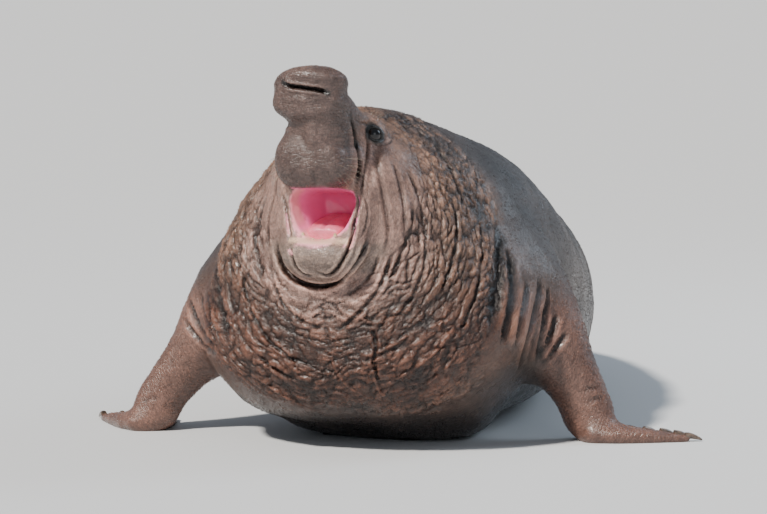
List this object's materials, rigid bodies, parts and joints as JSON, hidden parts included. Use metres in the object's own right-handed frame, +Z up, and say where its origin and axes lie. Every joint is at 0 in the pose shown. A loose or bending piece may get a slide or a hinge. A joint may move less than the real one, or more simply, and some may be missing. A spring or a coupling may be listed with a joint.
{
  "type": "bull southern elephant seal",
  "caption": "Life-size bull elephant seal, chest propped on its foreflippers, head raised and mouth open in a roar, trunk-like nose held up.",
  "frame": {"origin": "on the floor under the middle of the chest, between the foreflippers", "axes": "+Y from the head back towards the tail, +X to the animal's left, +Z up"},
  "size_m": [2.5161, 4.7028, 1.4907],
  "materials": {
    "skin": "short wet fur over thick wrinkled hide, satin with a wet sheen",
    "flipper_skin": "smooth wet skin, reddish brown, satin",
    "eye": "near-black wet eyeball, glossy",
    "tongue": "wet pink flesh, glossy"
  },
  "bodies": {
    "root": {"head": "skin", "proboscis": "skin", "lower_jaw": "skin", "neck": "skin", "chest": "skin", "torso": "skin", "rump": "skin", "tail": "skin", "arm_left": "flipper_skin", "arm_right": "flipper_skin", "hand_left": "flipper_skin", "hand_right": "flipper_skin", "hind_flipper_left": "flipper_skin", "hind_flipper_right": "flipper_skin", "eye_left": "eye", "eye_right": "eye", "tongue": "tongue"}
  },
  "joints": []
}
